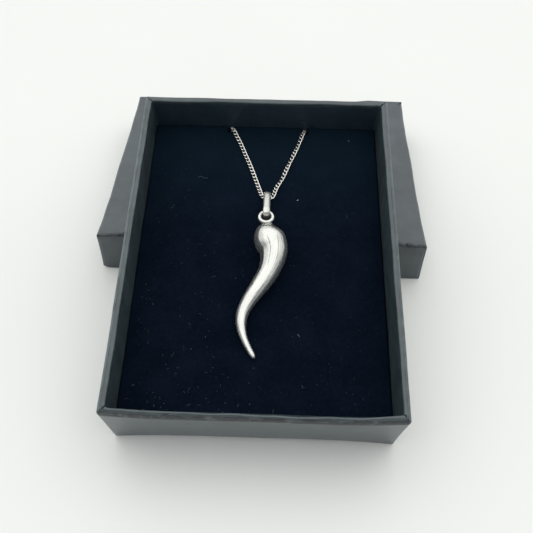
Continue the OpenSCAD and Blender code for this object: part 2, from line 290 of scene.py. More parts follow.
def velvet_finish():
    """Blue-black velvet: pile that lies in soft patches, with a faint sheen, and painted light, paler
    and bluer, towards the far wall.
    """
    velvet = Finish("blue_black_velvet", sheen_weight=0.03, sheen_roughness=0.5,
                    sheen_tint=(0.3, 0.5, 1.0), specular_ior_level=0.02)
    place = velvet.place()
    pile = velvet.grain(place, 5200, 2, 0.7)
    tufts = velvet.grain(place, 1100, 3, 0.6)
    lie = velvet.grain(place, 130, 2)
    lit = (tufts * 0.5 + lie * 0.5).between(0.35, 0.68)
    colour = velvet.tint(lit, VELVET_DARK, VELVET_LIT)
    fleck = pile.between(0.66, 0.8) * tufts.between(0.5, 0.7)
    flecked = velvet.tint(fleck * 0.6, colour, VELVET_FLECK)
    # Painted light: paler, bluer velvet towards the far wall
    along = velvet.axis(place, "Y")
    far_lit = velvet.tint(along.between(-0.02, FAR_VELVET_LIGHT) * 0.6, flecked, VELVET_FAR_LIGHT)
    soft = velvet.relief(lie, 0.0004, 0.5)
    nap = velvet.relief(pile * 0.4 + tufts * 0.6, 0.00009, 0.7, soft)
    return velvet.shade(base_color=far_lit, roughness=1.0, normal=nap)


# Fine scratches spread some of the light that silver would mirror
SILVER_METALLIC = 0.86
TARNISHED = (0.42, 0.39, 0.33)
# Dark brown: tarnish where no cloth gets, and painted shade on the bail and between the chain's links
TARNISH_AND_SHADE = (0.07, 0.055, 0.045)
# Grey of the horn's polishing lines and of its painted reflections
POLISH_AND_REFLECTION_GREY = (0.22, 0.215, 0.19)
STROKE_GREY = (0.47, 0.47, 0.445)

# Grey lines along the horn, partly left by polishing and partly painted reflections of the dark room:
# place across it, half width, start, stop and depth
POLISH_AND_REFLECTION_LINES = [
    (0.21, 0.065, 25.5, 35.5, 0.9),
    (0.33, 0.03, 27, 33, 0.4),
    (0.52, 0.04, 15, 30, 0.35),
    (0.02, 0.03, 21, 33, 0.3),
    (-0.2, 0.03, 14, 31, 0.35),
    (-0.36, 0.08, 19.5, 34.5, 0.55),
    (-0.48, 0.04, 17.5, 28, 0.8),
    (-0.58, 0.07, 13, 20.5, 0.8),
    # This broad line is painted reflection: the grey shade along the horn's right side
    (0.8, 0.16, 22, 33, 1),
    (0.2, 0.04, 7, 19, 0.5),
    (-0.05, 0.03, 12, 22, 0.4)
]
HEAD_RUN = 36.5
COLLAR_RUN = 38.3
RING_RUN = 40.1


def horn_marks_and_reflections(silver, lengthwise):
    """How grey the horn is: its polishing lines and painted reflections, its speckled head and its
    tarnished collar.
    """
    across = silver.axis(lengthwise, "X")
    run = silver.axis(lengthwise, "Z")
    waver = silver.grain(silver.stretched(lengthwise, 0, 0, 0.4), 1, 2) * 0.14 - 0.07
    broken = silver.grain(silver.stretched(lengthwise, 3, 3, 1.1), 1.4, 3, 0.7).between(0.3, 0.6)
    grey = 0.0
    for place, width, start, stop, depth in POLISH_AND_REFLECTION_LINES:
        beside = abs(across + waver - place).between(width, 0)
        grey = grey + beside * run.between(start, start + 2) * run.between(stop, stop - 2) * depth
    speckle = silver.grain(silver.place(), 3600, 2, 0.7).between(0.5, 0.68)
    head = abs(run - HEAD_RUN).between(1.6, 0.4) * speckle * 0.5
    stain = silver.grain(silver.place(), 1900, 3, 0.7).between(0.45, 0.58)
    collar = run.between(COLLAR_RUN, COLLAR_RUN + 0.3) * run.between(RING_RUN, RING_RUN - 0.3) * stain
    return grey * (broken * 0.5 + 0.5) + head + collar * 0.55


def silver_finish(name, clean, streaked=False, tarnish=0.35):
    """Polished silver: fine scratches, faint dents, and dark brown where its mark is high: tarnish
    where no cloth gets to it, and painted shade.
    """
    silver = Finish(name, metallic=SILVER_METALLIC)
    place = silver.place()
    bloom = silver.grain(place, 420, 4, 0.6)
    pits = silver.grain(place, 2400, 3, 0.65)
    dents = silver.grain(place, 150, 2)
    scratches = silver.grain(place, 3200, 2, 0.7)
    if streaked:
        along = silver.stretched(silver.place("lengthwise"), 1, 1, 0.16)
        scratches = silver.grain(along, 7, 4, 0.75)
        strokes = silver.grain(silver.stretched(along, 1, 1, 0.5), 2.4, 3, 0.6)
        dents = dents * 0.15 + strokes * 0.85
    darkened = bloom.between(0.5, 0.72) * pits.between(0.35, 0.75)
    # Its mark: tarnish, and painted shade on the bail and between the chain's links
    hidden = silver.mark()
    colour = silver.tint(darkened * tarnish, clean, TARNISHED)
    colour = silver.tint(hidden, colour, TARNISH_AND_SHADE)
    rough = 0.12 + scratches * 0.1 + darkened * 0.2
    if streaked:
        # Polishing lines and painted reflections along the horn
        marks = horn_marks_and_reflections(silver, silver.place("lengthwise"))
        colour = silver.tint(marks, colour, POLISH_AND_REFLECTION_GREY)
        colour = silver.tint(strokes.between(0.48, 0.72) * 0.2, colour, STROKE_GREY)
    soft = silver.relief(dents, 0.0004 if streaked else 0.0001, 0.45)
    fine = silver.relief(scratches * 0.7 + pits * 0.3, 0.00002, 0.5, soft)
    return silver.shade(base_color=colour, roughness=rough, normal=fine)


LINT_DARK = (0.012, 0.018, 0.028)
LINT_PALE = (0.50, 0.51, 0.52)
CARD_DIM = (0.91, 0.91, 0.885)
CARD_BRIGHT = (0.93, 0.93, 0.905)


def lint_finish():
    """Fluff, paler where its tone is higher."""
    lint = Finish("pale_lint", roughness=1.0, specular_ior_level=0.1)
    tone = lint.mark()
    return lint.shade(base_color=lint.tint(tone, LINT_DARK, LINT_PALE))


def floor_finish():
    """Matt white paper under the box."""
    card = Finish("white_card", roughness=0.75, specular_ior_level=0.3)
    tone = card.grain(card.place(), 9, 2)
    return card.shade(base_color=card.tint(tone, CARD_DIM, CARD_BRIGHT))


# Meshes

def unit(vector):
    return vector / np.linalg.norm(vector)


UP = np.array((0, 0, 1.0))


def clamped(value):
    return max(0.0, min(1.0, value))


def lifted(height):
    """A step straight up."""
    return np.array((0, 0, height))


def wobble(point, size, seed):
    """Smooth noise from -1 to 1 whose lumps are about size millimetres across."""
    return noise.noise(Vector(point) / size + Vector((seed * 7.3, seed * 3.1, seed)))


def placed(name, data):
    """A new object in the scene."""
    thing = bpy.data.objects.new(name, data)
    bpy.context.scene.collection.objects.link(thing)
    return thing


class Piece:
    """Points, faces and marks of one mesh while it is being built, in millimetres: wear, tarnish or
    tone, and painted shade and highlights.
    """

    def __init__(self):
        self.points = []
        self.faces = []
        self.marks_and_shading = []

    def add(self, points, faces, marks_and_shading=0.0):
        start = len(self.points)
        self.points += [tuple(p) for p in points]
        self.faces += [[start + i for i in face] for face in faces]
        self.marks_and_shading += list(marks_and_shading) if hasattr(marks_and_shading, "__len__") else [marks_and_shading] * len(points)

    def make(self, name, place, material, sharp=40):
        """The finished object, in metres in the frame. Edges steeper than sharp stay crisp."""
        mesh = bpy.data.meshes.new(name)
        mesh.from_pydata(self.points, [], self.faces)
        mesh.transform(Matrix.Scale(MM, 4) @ place)
        mesh.attributes.new("marks_and_shading", "FLOAT", "POINT").data.foreach_set("value", self.marks_and_shading)
        mesh.polygons.foreach_set("use_smooth", [True] * len(mesh.polygons))
        mesh.set_sharp_from_angle(angle=math.radians(sharp))
        mesh.materials.append(material)
        return placed(name, mesh)


def swept_faces(rings, sides, loop):
    """Faces of a body swept through rings of points, as a loop or with both ends capped."""
    faces = []
    for i in range(rings if loop else rings - 1):
        here = i * sides
        ahead = (i + 1) % rings * sides
        for j in range(sides):
            after = (j + 1) % sides
            faces.append([here + j, here + after, ahead + after, ahead + j])
    if not loop:
        faces.append(list(reversed(range(sides))))
        faces.append([(rings - 1) * sides + j for j in range(sides)])
    return faces


def ring_points(point, across, up, radius, sides):
    """Points round a circle that lies across and up from its middle."""
    turns = [2 * math.pi * j / sides for j in range(sides)]
    return [point + radius * (math.cos(t) * across + math.sin(t) * up) for t in turns]


def heading(points, i):
    """Direction of a route at one of its points."""
    if i == 0:
        return unit(points[1] - points[0])
    if i == len(points) - 1:
        return unit(points[i] - points[i - 1])
    return unit(unit(points[i] - points[i - 1]) + unit(points[i + 1] - points[i]))


def smooth(points, steps):
    """The smooth curve through a route's points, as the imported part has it."""
    points = [np.array(p, float) for p in points]
    curve = []
    for i in range(len(points) - 1):
        start, stop = points[i], points[i + 1]
        reach = np.linalg.norm(stop - start)
        out = heading(points, i) * reach
        into = heading(points, i + 1) * reach
        for k in range(steps):
            t = k / steps
            curve.append(start * (2 * t ** 3 - 3 * t ** 2 + 1) + out * (t ** 3 - 2 * t ** 2 + t)
                         + stop * (3 * t ** 2 - 2 * t ** 3) + into * (t ** 3 - t ** 2))
    return curve + [points[-1]]


def carried(headings, start):
    """Directions across a path, each carried on from the one before so that nothing flips."""
    side = start
    sides = []
    for forward in headings:
        side = unit(side - np.dot(side, forward) * forward)
        sides.append(side)
    return sides


def turned(profile, steps):
    """Rings of a body turned round Y from (radius, y) pairs."""
    return [ring_points(np.array((0, y, 0)), np.array((1, 0, 0)), UP, r, steps)
            for r, y in profile]


def torus(outside, wire, turns=56, sides=20):
    """Rings of a wire ring lying level."""
    rings = []
    for i in range(turns):
        angle = 2 * math.pi * i / turns
        out = np.array((math.cos(angle), math.sin(angle), 0))
        rings.append(ring_points(out * (outside - wire) / 2, out, UP, wire / 2, sides))
    return rings


def outward(thing):
    """Turns every face of a closed mesh to face out."""
    mesh = bmesh.new()
    mesh.from_mesh(thing.data)
    bmesh.ops.recalc_face_normals(mesh, faces=mesh.faces)
    mesh.to_mesh(thing.data)
    mesh.free()


def swept(name, rings, loop, place, material):
    """A body swept through rings of points."""
    body = Piece()
    body.add(sum(rings, []), swept_faces(len(rings), len(rings[0]), loop))
    thing = body.make(name, place, material)
    outward(thing)
    return thing


def fused(thing, *others):
    """Melts closed meshes into the first one, as solder does."""
    for other in others:
        union = thing.modifiers.new("solder", "BOOLEAN")
        union.operation = "UNION"
        union.solver = "EXACT"
        union.object = other
    evaluated = thing.evaluated_get(bpy.context.evaluated_depsgraph_get())
    mesh = bpy.data.meshes.new_from_object(evaluated)
    thing.modifiers.clear()
    old = thing.data
    thing.data = mesh
    mesh.name = old.name
    bpy.data.meshes.remove(old)
    for other in others:
        bpy.data.objects.remove(other)
    mesh.polygons.foreach_set("use_smooth", [True] * len(mesh.polygons))
    mesh.set_sharp_from_angle(angle=math.radians(38))
    return thing


def dressed(thing, slot, *nodes):
    """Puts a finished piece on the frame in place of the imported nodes."""
    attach(thing, "root")
    if nodes:
        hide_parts(*nodes)
    return thing


# Paper-covered box

ARC_STEPS = 6
SIDE_STEP = 0.7
CORNER_STEP = 0.3
NARROW_STEPS = 3
# Corner rounds: near left, near right, far right and far left
TRAY_ROUNDS = (0.6, 0.6, 0.2, 0.2)
LID_ROUNDS = (0.4, 0.4, 0.3, 0.3)
# The least round that is left of them further in, and the larger one inside the walls
LEAST_ROUND = 0.14
INSIDE_ROUND = 0.8
INSIDE_FROM = 1.25
# How pale the left and right edges are, from wear and painted sheen, and how much painted shade the far
# ones get; the near ones get painted shade outside and painted sheen inside
SIDE_WEAR_AND_SHADING = (2.2, 1.6, -0.5)
TRAY_NEAR_SHADE = -2.9
LID_NEAR_SHADE = -2.4
NEAR_SHEEN = 1.6
NEAR_SHEEN_FROM = 1.2
# How much of that wear the tray's foot has
FOOT_RUB = 0.36
# Painted shade in each corner's fold and a painted highlight right beside it
FOLD_SHADE = -5.0
FOLD_HIGHLIGHT = 3.0
# A face whose rub is below this gets painted shade for a few points round a fold, with a painted
# highlight line past them
FACE_RUB_AND_SHADE = 0.4
CORNER_SHADE = -1.4
CORNER_SHADE_TO = 3
CORNER_HIGHLIGHT = 4
CORNER_HIGHLIGHT_AT = 4


def box_outline(half_w, half_l, corners, counts):
    """Points round a rectangle with rounded corners, each with its outward direction."""
    arcs = []
    for k, (sx, sy) in enumerate([(-1, -1), (1, -1), (1, 1), (-1, 1)]):
        corner = corners[k]
        turns = [math.radians(180 + 90 * (k + m / ARC_STEPS)) for m in range(ARC_STEPS + 1)]
        arcs.append([((sx * (half_w - corner) + corner * math.cos(t),
                       sy * (half_l - corner) + corner * math.sin(t)),
                      (math.cos(t), math.sin(t))) for t in turns])
    outline = []
    narrow = CORNER_STEP / SIDE_STEP
    for k, arc in enumerate(arcs):
        outline += arc
        start, way = arc[-1]
        stop = arcs[(k + 1) % 4][0][0]
        steps = counts[k % 2]
        for m in range(1, steps):
            t = m / steps
            if m < NARROW_STEPS:
                t = m * narrow / steps
            elif steps - m < NARROW_STEPS:
                t = 1 - (steps - m) * narrow / steps
            place = (start[0] * (1 - t) + stop[0] * t, start[1] * (1 - t) + stop[1] * t)
            outline.append((place, way))
    return outline


def quarter(radius, steps):
    """Shares of a rounded edge: how far in and how far up at each step."""
    turns = [math.pi / 2 * m / steps for m in range(steps + 1)]
    return [(radius * (1 - math.cos(t)), radius * math.sin(t)) for t in turns]


def foot_edge(first):
    """Stations from below up round the lower outer edge."""
    turns = [math.pi / 8 * m for m in range(first, 5)]
    return [(0.4 - 0.4 * math.sin(t), 0.4 - 0.4 * math.cos(t), 0.5) for t in turns]


def wrapped_board(width, length, corners, stations, shape, near_shade, seed):
    """A paper-covered board form. Each station is (inset, height, rub and shade), which scales wear,
    painted sheen and highlights, and painted shade; shape moves each point.
    """
    counts = [round(width / SIDE_STEP), round(length / SIDE_STEP)]
    folds = corner_index(counts)
    board = Piece()
    rings = []
    marks_and_shading = []
    for inset, height, rub_and_shade in stations:
        least = INSIDE_ROUND if inset > INSIDE_FROM else LEAST_ROUND
        bends = [max(corner - inset, least) for corner in corners]
        outline = box_outline(width / 2 - inset, length / 2 - inset, bends, counts)
        for k, ((x, y), way) in enumerate(outline):
            past_fold = min((k - fold for fold in folds if k >= fold), default=len(outline))
            turn = min(abs(k - fold) for fold in folds)
            rings.append(shape(np.array((x, y, height)), np.array((*way, 0)), inset, past_fold))
            # Inner walls: painted shade on the far one, nothing on the others
            if rub_and_shade < 0:
                marks_and_shading.append(rub_and_shade * max(0.0, way[1]))
                continue
            # Near edges: painted shade outside, painted sheen inside; left and right: wear and painted
            # sheen; far: painted shade
            near = NEAR_SHEEN if inset > NEAR_SHEEN_FROM else near_shade
            wear_and_painted_light = SIDE_WEAR_AND_SHADING[0] * max(0.0, -way[0]) + SIDE_WEAR_AND_SHADING[1] * max(0.0, way[0])
            wear_and_painted_light += SIDE_WEAR_AND_SHADING[2] * max(0.0, way[1])
            wear_and_painted_light += near * max(0.0, -way[1])
            # Painted shade on the fold, a painted highlight right beside it
            if turn < 2:
                wear_and_painted_light = FOLD_HIGHLIGHT if turn else FOLD_SHADE
            wear_and_painted_light = rub_and_shade * wear_and_painted_light
            # Painted shade round a fold of a face, and a painted highlight line past it
            if inset == 0 and rub_and_shade < FACE_RUB_AND_SHADE and turn < CORNER_SHADE_TO:
                wear_and_painted_light = CORNER_SHADE
            elif inset == 0 and rub_and_shade < FACE_RUB_AND_SHADE and turn == CORNER_HIGHLIGHT_AT:
                wear_and_painted_light = CORNER_HIGHLIGHT
            marks_and_shading.append(wear_and_painted_light * (0.6 + 0.4 * wobble((x, y, height), 2.3, seed + 5)))
    board.add(rings, swept_faces(len(stations), len(outline), False), marks_and_shading)
    return board


def corner_index(counts):
    """Index of the middle of each of the four rounded corners in an outline."""
    step = ARC_STEPS + 1
    index = [ARC_STEPS // 2]
    for k in range(3):
        index.append(index[-1] + step + counts[k % 2] - 1)
    return index


# How the tray's paper has bowed, puckered and been dented, in millimetres
NEAR_BULGE = 0.5
NEAR_BULGE_INSIDE = 0.35
FOOT_HEIGHT = 7
FOOT_LIFT = 0.85
FOOT_TUCK = 0.55
FOOT_FADE_UNDER = 30
FOLD_RIDGE = 0.09
CREASE = 0.35
CREASE_RIDGE = 0.12
NEAR_FALL = 0.9
NEAR_FALL_WIDTH = 1.4
RIGHT_FROM = 27
RIGHT_RUN = 8
RIGHT_LEAN = 0.45
RIGHT_HOLLOW = 0.4
# How far down the rim reaches, and how far in its inner edge begins
RIM = 0.9
LIP = BOARD - 0.6


def tray_shape(point, outward, inset, past_fold):
    """Moves a point of the tray by how its paper and board have bowed, sagged and folded."""
    x, y, z = point
    near = y < 0 and outward[1] < -0.5
    across = 1 - abs(x / (TRAY_W / 2)) ** 4
    up = clamped(z / TRAY_H)
    point = point + outward * 0.14 * wobble(point, 17, 1) * min(1.0, z / 3)
    right = max(0.0, (x - RIGHT_FROM) / RIGHT_RUN) * up ** 2
    point = point + np.array((RIGHT_LEAN * right, 0, 0))
    if inset > LIP and outward[0] > 0.5:
        point = point + np.array((RIGHT_HOLLOW * right * (0.5 - y / TRAY_L), 0, 0))
    if near:
        point = point + outward * across * up ** 2 * NEAR_BULGE
        if inset > LIP and z > TRAY_H - 1:
            point = point + outward * across * NEAR_BULGE_INSIDE
        foot = max(0.0, 1 - z / FOOT_HEIGHT) ** 2 * across * max(0.0, 1 - inset / FOOT_FADE_UNDER)
        point = point + lifted(FOOT_LIFT * foot) - outward * FOOT_TUCK * foot
    if z <= TRAY_H - RIM:
        return point
    lump = wobble(point, 5.5, 2)
    ripple = wobble(point, 2.2, 3)
    if inset < 0.7:
        slack = 0.30 * lump + 0.06 * ripple
        slack = slack - 0.12 if near else slack * 0.4
        point = point + lifted(min(0.1, slack) * (1 - inset / 0.9))
    else:
        point = point + lifted(0.05 * lump + 0.03 * ripple)
    if near and inset < NEAR_FALL_WIDTH:
        fall = NEAR_FALL * (1 + 0.25 * wobble(point, 6, 6)) * (1 - inset / NEAR_FALL_WIDTH) ** 1.6
        fall = fall * min(1.0, (TRAY_W / 2 + 0.7 - abs(x)) / 2) + 0.05 * wobble(point, 1.6, 7)
        point = point - lifted(fall)
    if inset > LIP:
        sag = 0.34 if abs(outward[1]) > 0.5 else 0.12
        point = point - outward * sag * wobble(point, 7.5, 4)
    if abs(inset - 0.72) < 0.05 and abs(outward[0]) > 0.9:
        point = point + lifted(FOLD_RIDGE * (1 + 0.5 * ripple))
    if 0.3 < inset < BOARD + 0.05 and past_fold == 0:
        point = point - lifted(CREASE)
    elif 0.3 < inset < BOARD + 0.05 and past_fold == 1:
        point = point + lifted(CREASE_RIDGE)
    return point


def box_tray(paper):
    """The tray: outer faces, rolled rim with its folds and mitred corners, inner faces, floor."""
    stations = [(30, 0, 0), (18, 0, 0), (9, 0, 0), (4, 0, 0), (1.5, 0, 0)]
    stations += foot_edge(0)
    stations += [(0, z, FOOT_RUB * (1 - z / FOOT_HEIGHT)) for z in (1.2, 2.5, 4.5, FOOT_HEIGHT)]
    stations += [(0, z, 0) for z in (10, 13, 16, 18.2, 19.4)]
    stations += [(i, TRAY_H - 0.65 + z, 0.9) for i, z in quarter(0.65, 6)]
    stations += [(0.72, TRAY_H + 0.01, 0.5), (0.8, TRAY_H, 0.4), (1.1, TRAY_H, 0.3)]
    stations += [(1.3, TRAY_H, 0.5)]
    stations += [(BOARD - 0.4 + 0.4 * math.sin(t), TRAY_H - 0.4 + 0.4 * math.cos(t), 0.6)
                 for t in [math.pi / 10 * m for m in range(1, 6)]]
    stations += [(BOARD, z, -0.6) for z in (19.6, 18, 15, 12, 9, 6, 3)]
    stations += [(BOARD + 0.05, BOARD + 0.15, 0)]
    stations += [(inset, BOARD, 0) for inset in (BOARD + 0.2, 6, 20)]
    tray = wrapped_board(TRAY_W, TRAY_L, TRAY_ROUNDS, stations, tray_shape, TRAY_NEAR_SHADE, 1)
    place = IN_TRAY @ Matrix.Translation((0, TRAY_L / 2, 0))
    return dressed(tray.make("paper_tray", place, paper, 50), "paper_board", "box_tray")


# The tray presses the lid's near edge back, its sides are drawn in and one far corner flares
PRESS_BACK = 1.5
PRESS_WIDTH = 12
PRESS_FADE = 11
FOOT_SPREAD = 0.4
SIDE_TUCK = 0.35
TUCK_FADE = 9
FLARE_BACK = 0.9
FLARE_UP = 0.8
FLARE_FROM = 22
FLARE_RUN = 14
FLARE_WIDTH = 10
CORNER_CUT = 0.9
CORNER_CUT_SIZE = 1.8


def lid_shape(point, outward, inset, past_fold):
    """Moves a point of the lid by how it has been pressed, drawn in and flared."""
    x, y, z = point
    point = point + outward * 0.16 * wobble(point, 19, 11) * (1 if inset < 3 else 0)
    if z > LID_H - 0.9:
        fade = 1.0 if inset < 3 else 0.4
        lump = wobble(point, 7, 12) * 0.22 + wobble(point, 2.6, 13) * 0.06
        point = point + lifted(min(0.05, lump - 0.08) * fade)
    if z < 0.8:
        point = point + outward * 0.12 * wobble(point, 6, 14)
    if outward[1] < -0.5 and inset < PRESS_WIDTH:
        share = clamped((LID_LONG / 2 - 1 - abs(x)) / PRESS_FADE)
        press = PRESS_BACK * share * share * (3 - 2 * share) * (z / LID_H) ** 2
        spread = FOOT_SPREAD * max(0.0, 1 - z / FOOT_HEIGHT)
        point = point + np.array((0, press * (1 - inset / PRESS_WIDTH) - spread, 0))
    if abs(outward[0]) > 0.5 and inset < 1:
        point = point - outward * SIDE_TUCK * min(1.0, (LID_SHORT / 2 - abs(y)) / TUCK_FADE)
    corner = math.hypot(x + LID_LONG / 2, y + LID_SHORT / 2, z)
    point = point + lifted(CORNER_CUT * max(0.0, 1 - corner / CORNER_CUT_SIZE))
    if y > 0 and x > 0 and outward[1] > 0.5 and inset < FLARE_WIDTH:
        flare = clamped((x - FLARE_FROM) / FLARE_RUN) * (1 - inset / FLARE_WIDTH)
        point = point + np.array((0, FLARE_BACK * flare, FLARE_UP * flare * max(0.0, z / LID_H)))
    return point


def box_lid(paper):
    """The lid, open side down: inner faces, rim on the table, outer faces, rolled top edge, top."""
    stations = [(18, LID_H - BOARD, 0), (BOARD + 0.2, LID_H - BOARD, 0)]
    stations += [(BOARD, z, 0) for z in (LID_H - BOARD - 0.2, 8, 4, 0.5)]
    stations += [(BOARD - 0.3, 0, 0.3), (0.5, 0, 0.4)]
    stations += foot_edge(1)
    stations += [(0, z, 0) for z in (1.4, 3, 5, 7, 9, 11, 12.4)]
    stations += [(i, LID_H - 0.8 + z, 0.8) for i, z in quarter(0.8, 6)]
    stations += [(inset, LID_H, 0.2) for inset in (1.1, 1.6)]
    stations += [(inset, LID_H, 0) for inset in (2.4, 4, 6.5, 9, 12, 16, 21, 27, 33)]
    lid = wrapped_board(LID_LONG, LID_SHORT, LID_ROUNDS, stations, lid_shape, LID_NEAR_SHADE, 2)
    place = IN_LID @ Matrix.Translation((0, LID_SHORT / 2, 0))
    return dressed(lid.make("paper_lid", place, paper, 50), "paper_board", "box_lid")


# Velvet pad

def grid_lines(low, high, step, marks):
    """Lines between two edges: even steps, finer near the edges and at the marks."""
    fine = (0, 0.06, 0.18, 0.36, 0.6, 0.9, 1.2, 1.6)
    beside = (-0.5, -0.3, -0.15, -0.05, 0, 0.05, 0.15, 0.3, 0.5)
    lines = {round(low + f, 3) for f in fine} | {round(high - f, 3) for f in fine}
    for mark in marks:
        lines |= {round(mark + f, 3) for f in beside}
    count = round((high - low) / step)
    for i in range(1, count):
        even = low + (high - low) * i / count
        if min(abs(even - line) for line in lines) > step * 0.3:
            lines.add(round(even, 3))
    return sorted(line for line in lines if low <= line <= high)


def rolled(distance, radius):
    """Drop of a rolled edge at some distance from it."""
    if distance >= radius:
        return 0.0
    return radius - math.sqrt(max(0.0, radius ** 2 - (radius - distance) ** 2))


def velvet_pad(velvet):
    """The padded top with its two chain slots, on a hollow skirt."""
    half = TRAY_W / 2 - BOARD - PAD_SIDE + PILE
    near = BOARD + PAD_SIDE - PILE
    far = PAD_FAR + PILE
    foot = BOARD + REST_GAP
    slots = (SLOT_LEFT, SLOT_RIGHT)
    marks = [slot + side * SLOT_W / 2 for slot in slots for side in (-1, 1)]
    xs = grid_lines(-half, half, 1.0, marks + [SKIRT - half, half - SKIRT])
    ys = grid_lines(near, far, 1.0, [near + SKIRT, far - SKIRT, PAD_FAR - SLOT_DEPTH])

    def edge_at(x, y):
        return min(x + half, half - x, y - near, far - y)

    def middle(i, j):
        return (xs[i] + xs[i + 1]) / 2, (ys[j] + ys[j + 1]) / 2

    def in_slot(x, y):
        return y > PAD_FAR - SLOT_DEPTH and any(abs(x - slot) < SLOT_W / 2 for slot in slots)

    def top(x, y):
        gap = min(math.hypot(max(0, abs(x - slot) - SLOT_W / 2), max(0, PAD_FAR - SLOT_DEPTH - y))
                  for slot in slots)
        roll = PAD_ROUND * (1 + 0.2 * wobble((x, y, 0), 9, 21))
        sink = max(rolled(edge_at(x, y), roll), rolled(gap, 0.5))
        swell = 0.10 * wobble((x, y, 0), 14, 22) + 0.04 * wobble((x, y, 0), 4, 23)
        return PAD_TOP - 0.12 + swell - sink

    def floor(i, j):
        return foot if edge_at(*middle(i, j)) < SKIRT else UNDER_PAD

    cells = {(i, j) for i in range(len(xs) - 1) for j in range(len(ys) - 1)
             if not in_slot(*middle(i, j))}
    pad = Piece()
    known = {}

    def corner(i, j, height):
        key = (i, j, height)
        if key not in known:
            known[key] = len(pad.points)
            z = top(xs[i], ys[j]) if height == "top" else height
            pad.add([(xs[i], ys[j], z)], [])
        return known[key]

    for i, j in sorted(cells):
        low = floor(i, j)
        around = [(i, j), (i + 1, j), (i + 1, j + 1), (i, j + 1)]
        pad.faces.append([corner(*c, "top") for c in around])
        pad.faces.append([corner(*c, low) for c in reversed(around)])
        beside = [(i, j - 1), (i + 1, j), (i, j + 1), (i - 1, j)]
        for k, other in enumerate(beside):
            a, b = around[k], around[(k + 1) % 4]
            high = floor(*other) if other in cells else "top"
            if high == "top" or high > low:
                pad.faces.append([corner(*a, low), corner(*b, low), corner(*b, high), corner(*a, high)])
    thing = dressed(pad.make("velvet_cushion", IN_TRAY, velvet, 60), "velvet", "velvet_pad")
    return thing


# Lint that shows on the velvet: place on the pad, length, turn in degrees, bend, width and tone
LINT_ACROSS, LINT_ALONG, LINT_LENGTH, LINT_TURN, LINT_BEND, LINT_WIDTH, LINT_TONE = range(7)
LINT_ROWS = [
    (-17.5, 72.4, 2.9, -4, 0.55, 0.1, 0.22),
    (-25.2, 62, 1.6, 60, 0.3, 0.07, 0.12),
    (10, 65.4, 0.45, 20, 0, 0.22, 0.9),
    (23.9, 60.2, 1.3, 95, 0.35, 0.07, 0.12),
    (25.2, 87.3, 0.5, 40, 0, 0.18, 0.5),
    (-12.1, 40.2, 1.2, 30, 0.3, 0.08, 0.12),
    (-14.9, 29.3, 0.6, -20, 0, 0.1, 0.12),
    (10.5, 24.1, 0.9, -45, 0.1, 0.17, 0.3),
    (-20.8, 18, 1.4, 70, 0.3, 0.07, 0.12),
    (-12.2, 13.6, 0.8, 10, 0.2, 0.08, 0.12),
    (-3.9, 5.6, 0.9, 80, 0.1, 0.1, 0.12),
    (4.6, 4.5, 1.1, 84, 0.1, 0.1, 0.12),
    (11.5, 10.7, 0.9, -50, 0.2, 0.12, 0.12),
    (-31, 6.5, 0.7, 35, 0.1, 0.09, 0.12),
    (-11.7, 7.1, 0.6, 0, 0, 0.09, 0.12),
    (-16, 9.1, 1.3, 85, 0.25, 0.07, 0.12)
]
# Small specks between them, fewer and darker towards the far end
SPECKS = 760
SPECK_SEED = 7
SPECK_ACROSS = 31
SPECK_NEAREST = 3.5
SPECK_REACH = 86.5
SPECK_LENGTHS = (0.15, 0.7)
SPECK_WIDTHS = (0.04, 0.075)


def velvet_lint(lint):
    """Bits of fluff lying on the pad: the ones in the table, and small specks between them."""
    draw = random.Random(SPECK_SEED)
    rows = list(LINT_ROWS)
    for _ in range(SPECKS):
        across = draw.uniform(-SPECK_ACROSS, SPECK_ACROSS)
        along = SPECK_NEAREST + SPECK_REACH * draw.random() ** 1.2
        tone = draw.uniform(0.02, 0.44) ** 2 * (1.2 - along / 100) * (1 - across / 50)
        rows.append((across, along, draw.uniform(*SPECK_LENGTHS), draw.uniform(0, 180),
                     draw.uniform(-0.3, 0.3), draw.uniform(*SPECK_WIDTHS), tone))
    fluff = Piece()
    for row in rows:
        turn = math.radians(row[LINT_TURN])
        ahead = np.array((math.cos(turn), math.sin(turn), 0))
        aside = np.array((-ahead[1], ahead[0], 0))
        start = np.array((row[LINT_ACROSS], row[LINT_ALONG], PAD_TOP + 0.03))
        count = 7 if row[LINT_LENGTH] > 0.8 else 4
        spine = []
        for m in range(count):
            t = m / (count - 1)
            wave = row[LINT_BEND] * (math.sin(2.2 * math.pi * t) * 0.6 + math.sin(math.pi * t) * 0.4)
            spine.append(start + ahead * row[LINT_LENGTH] * (t - 0.5) + aside * wave
                         + lifted(0.08 * math.sin(math.pi * t)))
        headings = [heading(spine, m) for m in range(count)]
        rings = []
        for place, forward, side in zip(spine, headings, carried(headings, UP)):
            rings += ring_points(place, side, np.cross(forward, side), row[LINT_WIDTH] / 2, 4)
        fluff.add(rings, swept_faces(count, 4, False), row[LINT_TONE])
    return dressed(fluff.make("velvet_fluff", IN_TRAY, lint), "velvet")


# Pendant

